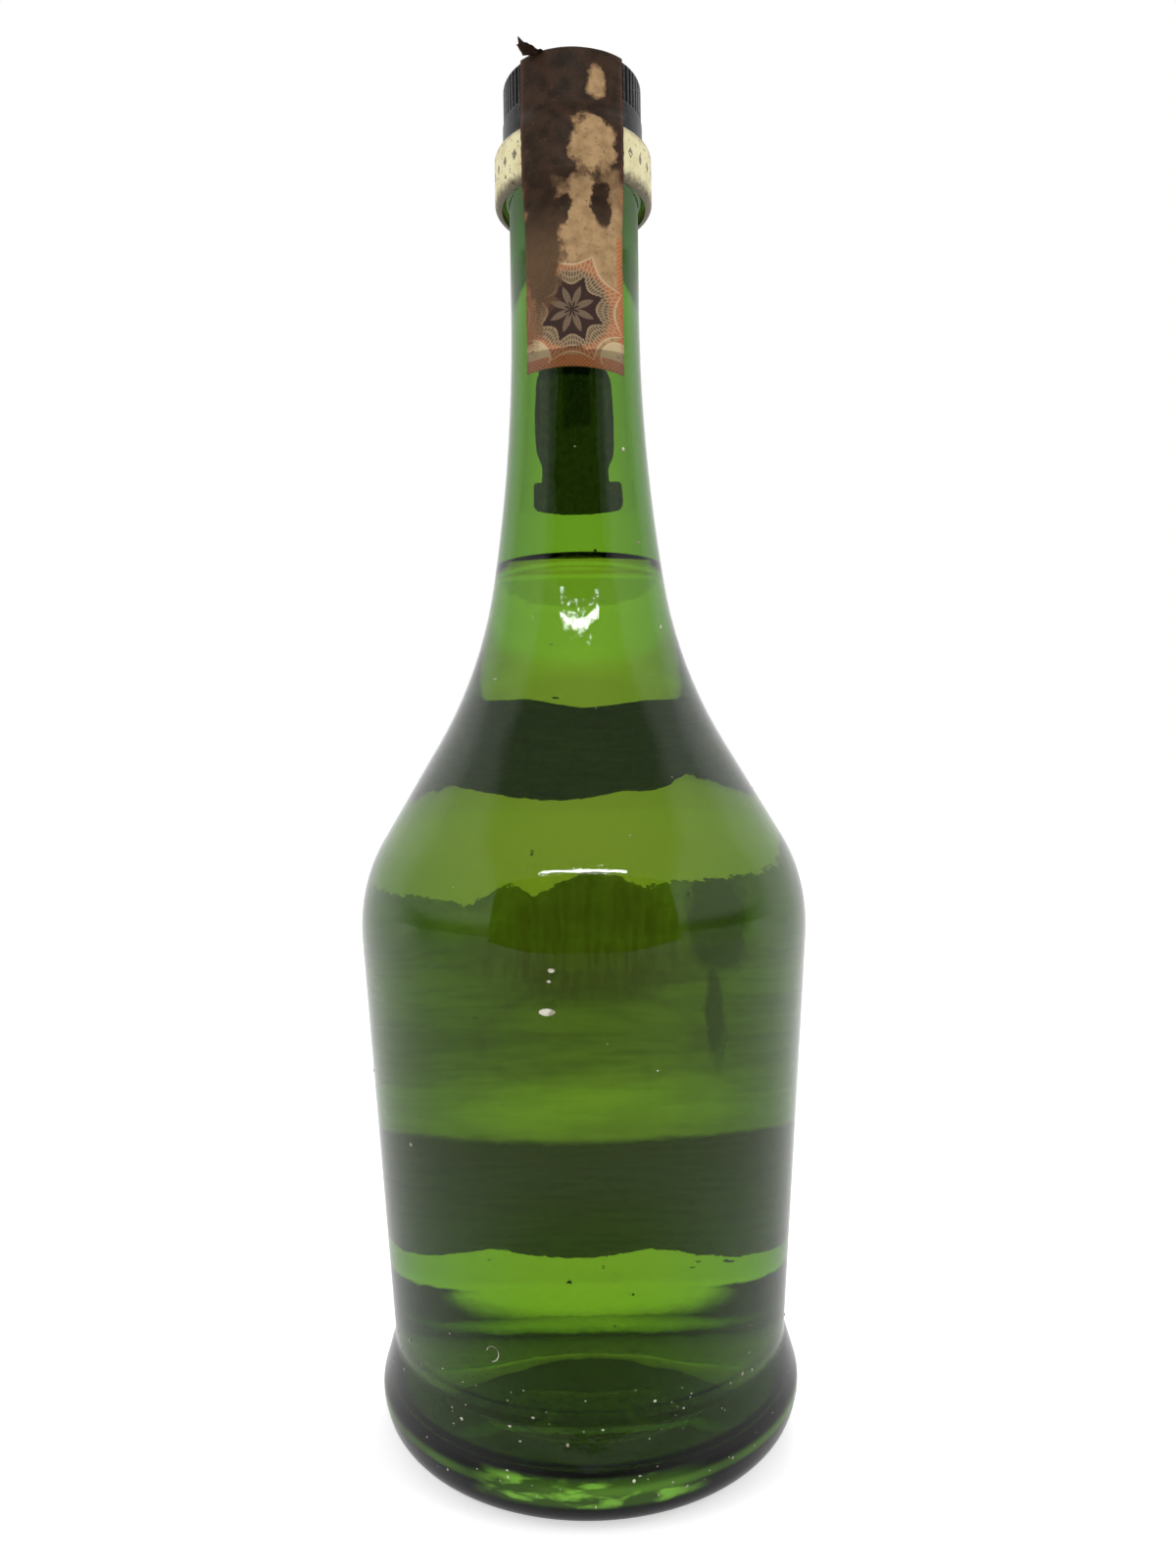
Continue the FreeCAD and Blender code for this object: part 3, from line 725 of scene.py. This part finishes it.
def gold_line(tree, up, height, half):
    """A thin level line."""
    return between(tree, apart(tree, up, height), half + 0.05, half - 0.05)


def face_paper(tree, shader, place, mottle, least):
    """The front of a label: dull, with a fine tooth."""
    tree.links.new(calc(tree, "MULTIPLY_ADD", mottle, 0.2, least), shader.inputs["Roughness"])
    roughen(tree, shader, grain(tree, place, 3, 4), 0.00004, 0.5)


def bowed_height(tree, across, up, bow):
    """Height over a line that rises or falls to its sides."""
    return calc(tree, "ADD", up, times(tree, calc(tree, "POWER", across, 2), bow))


body_front, tree, shader = new_material("body_label_front")
place = place_in_mm(tree)
across, _, up = split_place(tree, place)
mottle = grain(tree, place, 0.5, 5)
ground = paint(tree, (0.78, 0.73, 0.56), (0.7, 0.63, 0.44), between(tree, mottle, 0.35, 0.7))
low_field = between(tree, bowed_height(tree, across, up, -0.0025), 52.4, 52.0)
ground = paint(tree, ground, (0.035, 0.075, 0.03), low_field)
oval = patch(tree, place, (0, 45, 76), (16, 60, 12), 0.0, 0.012)
oval_inner = patch(tree, place, (0, 45, 76), (14.8, 60, 10.9), 0.0, 0.012)
gold = most(
    tree,
    gold_line(tree, up, 49.5, 0.4),
    gold_line(tree, up, 32.0, 0.4),
    calc(tree, "SUBTRACT", oval, oval_inner),
)
ground = paint(tree, ground, GOLD, gold)
face_paper(tree, shader, place, mottle, 0.45)
let_light_through(tree, shader, ground, 0.48)

body_back, tree, shader = new_material("body_label_back")
place = place_in_mm(tree)
across, _, up = split_place(tree, place)
streaks = grain(tree, place, 0.16, 6, (0.3, 1, 1.6))
smears = grain(tree, place, 0.35, 4, (0.25, 1, 2.2))
backing = paint(tree, (0.95, 0.94, 0.76), (0.62, 0.62, 0.46), between(tree, streaks, 0.35, 0.68))
backing = paint(tree, backing, (0.45, 0.47, 0.33), between(tree, smears, 0.5, 0.7), 0.5)

# thicker glue near the top, in upright runs, and a drip of it at the right
runs = between(tree, grain(tree, place, 0.9, 3, (1.0, 1, 0.12)), 0.35, 0.65)
thick_glue = patch(tree, place, (0.5, 45, 94), (15, 60, 9), 5.0, 0.35)
thick_glue = times(tree, thick_glue, calc(tree, "MULTIPLY_ADD", runs, 0.4, 0.55))
backing = paint(tree, backing, (0.46, 0.32, 0.15), thick_glue)
glue_drip = most(
    tree,
    patch(tree, place, (18.5, 45, 98), (3.4, 60, 7), 2.5, 0.3),
    patch(tree, place, (17.6, 45, 82), (1.0, 60, 12), 1.2, 0.4),
)
backing = paint(tree, backing, (0.1, 0.1, 0.06), glue_drip, 0.75)

# painted shade: the back is darker below a bowed line; just above it lies a painted pool of light,
# paler, that also glows
field_edge = bowed_height(tree, across, up, -0.006)
field_edge = calc(tree, "ADD", field_edge, times(tree, streaks, 2.0))
painted_low_shade = between(tree, field_edge, 53.0, 51.4)
low_tone = paint(tree, (0.13, 0.145, 0.1), (0.085, 0.1, 0.075), between(tree, smears, 0.4, 0.65))
backing = paint(tree, backing, low_tone, painted_low_shade)
glow = patch(tree, place, (-1, 45, 60), (20, 60, 7.5), 9.0, 0.8)
glow = times(tree, glow, rest(tree, painted_low_shade))
backing = paint(tree, backing, (0.95, 1.0, 0.62), glow, 0.6)
# painted glow: the back gives off light of its own, a little all over and most in the painted pool
# of light
painted_back_glow = paint(tree, (0, 0, 0), backing, calc(tree, "MULTIPLY_ADD", glow, 0.5, 0.25))
tree.links.new(painted_back_glow, shader.inputs["Emission Color"])
shader.inputs["Emission Strength"].default_value = 2.0
shader.inputs["Roughness"].default_value = 0.7
let_light_through(tree, shader, backing, 0.6)

body_label = glue_on(
    "body_label_paper",
    [
        (-34.5, 100.8, 2.5),
        (-34.5, 27.6, 2.5),
        (-24.2, 24.4, 14),
        (-12.8, 27.8, 0),
        (-3.0, 24.0, 20),
        (8.1, 27.0, 0),
        (19.0, 24.2, 16),
        (34.5, 28.4, 2.5),
        (34.5, 101.4, 2.5),
        (24.0, 103.0, 16),
        (8.6, 101.4, 0),
        (0.8, 103.4, 12),
        (-7.5, 100.5, 0),
        (-11.5, 102.2, 4),
        (-16.5, 99.8, 0),
        (-25.0, 101.8, 16),
    ],
    (body_front, body_back), 34, 24, 104,
)
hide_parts("body_label")

# The shoulder label, darker, for it is printed all over and thickly glued.
shoulder_front, tree, shader = new_material("shoulder_label_front")
place = place_in_mm(tree)
up = split_place(tree, place)[2]
mottle = grain(tree, place, 0.6, 5)
ground = paint(tree, (0.04, 0.08, 0.035), (0.06, 0.1, 0.045), between(tree, mottle, 0.35, 0.7))
lines = most(tree, gold_line(tree, up, 141.5, 0.45), gold_line(tree, up, 126.5, 0.45))
ground = paint(tree, ground, GOLD, lines)
oval = patch(tree, place, (0, 30, 134), (9, 60, 5.2), 0.0, 0.015)
ground = paint(tree, ground, (0.7, 0.64, 0.46), oval)
face_paper(tree, shader, place, mottle, 0.45)
let_light_through(tree, shader, ground, 0.3)

shoulder_back, tree, shader = new_material("shoulder_label_back")
place = place_in_mm(tree)
streaks = grain(tree, place, 0.22, 6, (0.5, 1, 1.8))
backing = paint(tree, (0.2, 0.21, 0.15), (0.1, 0.11, 0.075), between(tree, streaks, 0.35, 0.65))
thin = most(
    tree,
    patch(tree, place, (3.5, 40, 121.5), (6.5, 60, 2.6), 3.0, 0.5),
    patch(tree, place, (-6.5, 40, 147), (4.0, 60, 1.6), 1.5, 0.5),
)
backing = paint(tree, backing, (0.42, 0.4, 0.22), thin, 0.7)
shader.inputs["Roughness"].default_value = 0.7
let_light_through(tree, shader, backing, 0.3)

shoulder_label = glue_on(
    "shoulder_label_paper",
    [
        (-20.5, 145.6, 2.5),
        (-30.5, 122.6, 2.5),
        (-22.5, 120.6, 6),
        (-17.6, 122.8, 0),
        (-4.0, 116.4, 22),
        (5.4, 121.2, 2),
        (10.2, 120.4, 4),
        (13.1, 125.0, 0),
        (16.5, 121.2, 4),
        (24.0, 121.6, 6),
        (32.0, 123.6, 2.5),
        (19.5, 145.0, 2.5),
        (10.0, 147.6, 14),
        (0.4, 145.2, 3),
        (-7.0, 148.2, 4),
    ],
    (shoulder_front, shoulder_back), 33, 118, 148,
)
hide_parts("shoulder_label")

# The neck label: a small dark cameo on a foot, with a gold rim.
neck_front, tree, shader = new_material("neck_label_front")
place = place_in_mm(tree)
mottle = grain(tree, place, 0.8, 5)
ground = paint(tree, (0.05, 0.05, 0.025), (0.08, 0.075, 0.035), between(tree, mottle, 0.35, 0.7))
medal = patch(tree, place, (0, 14, 222), (7.4, 60, 8.6), 0.0, 0.015)
medal_inner = patch(tree, place, (0, 14, 222), (6.7, 60, 7.8), 0.0, 0.015)
ground = paint(tree, ground, GOLD, medal)
ground = paint(tree, ground, (0.055, 0.11, 0.045), medal_inner)
face_paper(tree, shader, place, mottle, 0.4)
let_light_through(tree, shader, ground, 0.15)

neck_back, tree, shader = new_material("neck_label_back")
place = place_in_mm(tree)
up = split_place(tree, place)[2]
cloudy = between(tree, grain(tree, place, 0.5, 5), 0.35, 0.65)
backing = paint(tree, (0.1, 0.095, 0.06), (0.05, 0.05, 0.035), cloudy)
scrapes = between(tree, grain(tree, place, 0.8, 5, (1.4, 1, 0.5)), 0.6, 0.66)
scrapes = times(tree, scrapes, between(tree, up, 224.0, 230.0))
backing = paint(tree, backing, (0.5, 0.52, 0.3), scrapes)
shader.inputs["Roughness"].default_value = 0.7
let_light_through(tree, shader, backing, 0.2)

neck_label = glue_on(
    "neck_label_paper",
    [
        (-12.3, 197.8, 1.5),
        (12.3, 197.8, 1.5),
        (12.3, 204.0, 1.5),
        (8.6, 204.6, 0.6),
        (8.4, 207.6, 0.8),
        (10.2, 210.5, 3),
        (10.4, 218, 20),
        (9.6, 233.2, 8.4),
        (-11.4, 233.2, 8.8),
        (-12.2, 217, 20),
        (-11.6, 211.0, 4),
        (-9.8, 208.0, 0.8),
        (-9.9, 204.4, 0.6),
        (-12.3, 204.0, 1.2),
    ],
    (neck_front, neck_back), 13, 198, 234,
)
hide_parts("neck_label")

# Dust: pale specks that cling to the outside of the glass, thickest on the foot, three larger ones
# on the body, and one curled fibre.
SPECKS = 300
FIBRE_RADIUS, FIBRE_CURL = 0.09, 1.3
FOOT_CORNERS = [(33, 0, 0)] + GLASS_OUTSIDE[3:6] + [(43, 30, 0)]
FOOT_LINE = [(point.z, point.x) for point in points_along(FOOT_CORNERS, 12)]
LARGE_SPECKS = ((95.5, -1.71, 0.9, 1.7), (103.0, -1.69, 0.55, 1.2), (101.0, -1.70, 0.4, 1.0))


def on_glass(line, up, turn, lift=-0.02):
    """The frame of a spot on the glass: across the wall, round the bottle, and up."""
    out = radius_on(line, up) + lift
    return Matrix.Rotation(turn, 4, "Z") @ Matrix.Translation((out, 0, up))


dust_pale, tree, shader = new_material("dust_pale")
place = place_in_mm(tree)
cloudy = between(tree, grain(tree, place, 0.4, 3), 0.4, 0.6)
pale = paint(tree, (0.62, 0.6, 0.5), (0.3, 0.27, 0.2), cloudy)
tree.links.new(pale, shader.inputs["Base Color"])
shader.inputs["Roughness"].default_value = 0.9
dust_mesh = bmesh.new()
chance = random.Random(21)
for i in range(SPECKS):
    on_foot = i % 3 != 2
    up = chance.uniform(6, 26) if on_foot else chance.uniform(28, 235)
    spot = on_glass(FOOT_LINE if on_foot else GLASS_LINE, up, chance.uniform(0, 2 * math.pi))
    size = min(0.1 + chance.expovariate(11), 0.38)
    flat = Matrix.Diagonal((0.35, chance.uniform(0.6, 1.6), chance.uniform(0.6, 1.3), 1))
    bmesh.ops.create_icosphere(dust_mesh, subdivisions=1, radius=size, matrix=spot @ flat)
for up, turn, size, long in LARGE_SPECKS:
    spot = on_glass(GLASS_LINE, up, turn) @ Matrix.Diagonal((0.15, long, 0.8, 1))
    bmesh.ops.create_icosphere(dust_mesh, subdivisions=2, radius=size, matrix=spot)

# the fibre: a small ring swept along most of a circle, then laid on the foot
fibre = bmesh.ops.create_circle(dust_mesh, segments=6, radius=FIBRE_RADIUS)["verts"]
bmesh.ops.translate(dust_mesh, verts=fibre, vec=(FIBRE_CURL, 0, 0))
fibre_edges = list({edge for point in fibre for edge in point.link_edges})
upright = Matrix.Rotation(math.radians(90), 3, "X")
bmesh.ops.rotate(dust_mesh, verts=fibre, cent=(FIBRE_CURL, 0, 0), matrix=upright)
specks = set(dust_mesh.verts) - set(fibre)
bmesh.ops.spin(
    dust_mesh, geom=fibre + fibre_edges, cent=(0, 0, 0), axis=(0, 0, 1),
    angle=math.radians(250), steps=18,
)
fibre = [point for point in dust_mesh.verts if point not in specks]
laid = on_glass(GLASS_LINE, 31.0, -2.0, 0.1) @ Matrix.Rotation(math.radians(80), 4, "Y")
bmesh.ops.transform(dust_mesh, verts=fibre, matrix=laid)
finish_piece("dust_specks", dust_mesh, dust_pale)

# The studio: a white surround that is dimmer in front, and that the glass mirrors more at its
# sides; a pale floor; a dark card behind the camera that the glass mirrors at its middle.
DIFFUSE_LEVEL = 0.7


def ray_kinds(tree):
    """Rays from the camera, from a mirroring surface, and through glass (which mirrors too)."""
    path = tree.nodes.new("ShaderNodeLightPath")
    kinds = ("Is Camera Ray", "Is Glossy Ray", "Is Transmission Ray")
    return [path.outputs[kind] for kind in kinds]


world = bpy.data.worlds.new("surround")
bpy.context.scene.world = world
world.use_nodes = True
tree = world.node_tree
surround = tree.nodes["Background"]
surround.inputs["Color"].default_value = (1, 1, 1, 1)
camera_ray, mirror_ray, glass_ray = ray_kinds(tree)
direction = tree.nodes.new("ShaderNodeTexCoord")
side, depth, rise = split_place(tree, direction.outputs["Generated"])
mirrored = calc(tree, "MULTIPLY_ADD", between(tree, depth, -0.15, 0.4), 0.85, 0.15)
raised = between(tree, rise, 0.02, 0.16)
veil = times(tree, between(tree, calc(tree, "ABSOLUTE", side), 0.6, 0.72), raised)
veil = calc(tree, "MULTIPLY_ADD", veil, 0.45, times(tree, raised, 0.25))
mirrored = most(tree, mirrored, veil)
level = times(tree, calc(tree, "SUBTRACT", mirrored, DIFFUSE_LEVEL), mirror_ray)
level = calc(tree, "ADD", level, DIFFUSE_LEVEL)
full = most(tree, glass_ray, camera_ray)
level = calc(tree, "MULTIPLY_ADD", rest(tree, level), full, level)
tree.links.new(level, surround.inputs["Strength"])


def stage_piece(name, mesh, material):
    """A piece of the studio, which isn't part of the bottle."""
    data = bpy.data.meshes.new(name)
    mesh.to_mesh(data)
    mesh.free()
    data.materials.append(material)
    piece = bpy.data.objects.new(name, data)
    bpy.context.scene.collection.objects.link(piece)
    return piece


def only_mirrored(piece):
    """Let nothing see a piece of the studio but what mirrors it."""
    piece.visible_camera = False
    piece.visible_diffuse = False
    piece.visible_transmission = False
    piece.visible_shadow = False


floor_white, tree, shader = new_material("floor_white")
shader.inputs["Roughness"].default_value = 0.9
shader.inputs["Specular IOR Level"].default_value = 0
camera_ray, mirror_ray, glass_ray = ray_kinds(tree)
# painted shade: mirrored, the floor is darker; seen through the glass it has no colour of its own
floor_colour = paint(tree, (0.8, 0.8, 0.8), (0.12, 0.12, 0.12), mirror_ray)
floor_colour = paint(tree, floor_colour, (0.0, 0.0, 0.0), glass_ray)
tree.links.new(floor_colour, shader.inputs["Base Color"])

# seen through the glass, the floor has no shading of its own and glows by its distance from the
# bottle: a painted shadow under the bottle, and a painted bright rim round it
place = place_in_mm(tree)
across, deep = split_place(tree, place)[:2]
out = distance(tree, across, deep)
through_level = calc(tree, "MULTIPLY_ADD", between(tree, out, 62.0, 95.0), -0.2, 0.86)
for near, far, change in ((130.0, 240.0, -0.08), (600.0, 1100.0, 0.08)):
    band = between(tree, out, near, far)
    through_level = calc(tree, "MULTIPLY_ADD", band, change, through_level)
through_level = times(tree, through_level, between(tree, out, 56.0, 64.0))
not_far = times(tree, between(tree, out, 120.0, 200.0), between(tree, out, 1100.0, 600.0))
warmth = times(tree, glass_ray, not_far)

# mirrored, it glows less in front, as painted shade, with two painted shadows there
painted_shadows = most(
    tree,
    patch(tree, place, (0, -520, 0), (230, 280, 1e6), 0.0, 0.7),
    patch(tree, place, (0, -100, 0), (80, 60, 1e6), 0.0, 0.7),
)
mirrored = calc(tree, "MULTIPLY_ADD", between(tree, deep, -260.0, 240.0), 0.3, 0.15)
mirrored = times(tree, mirrored, calc(tree, "MULTIPLY_ADD", painted_shadows, -0.9, 1.0), mirror_ray)
glow = calc(tree, "MULTIPLY_ADD", camera_ray, 0.25, mirrored)
more = calc(tree, "SUBTRACT", through_level, glow)
glow = calc(tree, "MULTIPLY_ADD", more, glass_ray, glow)
glow_colour = paint(tree, (1, 1, 1), (1, 0.8, 0.78), warmth)
tree.links.new(paint(tree, (0, 0, 0), glow_colour, glow), shader.inputs["Emission Color"])
shader.inputs["Emission Strength"].default_value = 2.0
floor_mesh = bmesh.new()
bmesh.ops.create_grid(floor_mesh, x_segments=2, y_segments=2, size=20)
bmesh.ops.translate(floor_mesh, vec=(0, 0, -0.0002), verts=floor_mesh.verts)
stage_piece("floor", floor_mesh, floor_white)

card_black, tree, shader = new_material("card_black")
shader.inputs["Base Color"].default_value = (0.01, 0.01, 0.01, 1)
shader.inputs["Specular IOR Level"].default_value = 0
card_mesh = bmesh.new()
CARD_DEPTH = -0.46
CARD_OUTLINE = (
    (-0.46, 0.47), (0.46, 0.47), (0.46, 0.075), (0.2, 0.035), (-0.2, 0.035), (-0.46, 0.075),
)
card_mesh.faces.new([card_mesh.verts.new((x, CARD_DEPTH, z)) for x, z in CARD_OUTLINE])
card = stage_piece("dark_card", card_mesh, card_black)
only_mirrored(card)

# A row of small lamps high behind the camera, with a row of dots below it, which only the glass
# mirrors.
LAMP_GAP = 0.01
ROW_DEPTH = -0.6
ROW_HEIGHT, DOTS_HEIGHT = 0.63, 0.53
lamp_white, tree, shader = new_material("lamp_white")
shader.inputs["Base Color"].default_value = (0, 0, 0, 1)
shader.inputs["Emission Color"].default_value = (1, 1, 1, 1)
shader.inputs["Emission Strength"].default_value = 40
row_mesh = bmesh.new()
tilt = Matrix.Rotation(math.radians(50), 4, "X")
chance = random.Random(7)


def hang_lamp(along, height, size):
    """One square lamp of the row, turned down towards the bottle."""
    spot = Matrix.Translation((along, ROW_DEPTH, height)) @ tilt
    bmesh.ops.create_grid(row_mesh, x_segments=1, y_segments=1, size=size, matrix=spot)


for i in range(-28, 29):
    along = i * LAMP_GAP
    hang_lamp(along, ROW_HEIGHT + chance.uniform(-0.008, 0.008), chance.uniform(0.003, 0.0085))
    for _ in range(3):
        hang_lamp(along, ROW_HEIGHT + chance.gauss(-0.015, 0.03), chance.uniform(0.0012, 0.003))
    if i % 3 == 0:
        hang_lamp(along, DOTS_HEIGHT + 0.6 * along ** 2, 0.005)
row = stage_piece("lamp_row", row_mesh, lamp_white)
only_mirrored(row)

# Three softboxes give the paper and the plastic their shading. The glass doesn't mirror them.
for place, energy in (((-0.9, -0.5, 0.6), 5), ((0.9, -0.5, 0.6), 5), ((0.2, 1.1, 0.5), 8)):
    lamp = bpy.data.lights.new("softbox", "AREA")
    lamp.shape = "RECTANGLE"
    lamp.size = 0.5
    lamp.size_y = 0.9
    lamp.energy = energy
    softbox = bpy.data.objects.new("softbox", lamp)
    bpy.context.scene.collection.objects.link(softbox)
    softbox.location = place
    aim = Vector((0, 0, 0.15)) - softbox.location
    softbox.rotation_euler = aim.to_track_quat("-Z", "Y").to_euler()
    softbox.visible_glossy = False
    softbox.visible_transmission = False

scene = bpy.context.scene
scene.view_settings.view_transform = "Standard"
scene.cycles.max_bounces = 24
scene.cycles.transmission_bounces = 24
scene.cycles.glossy_bounces = 12
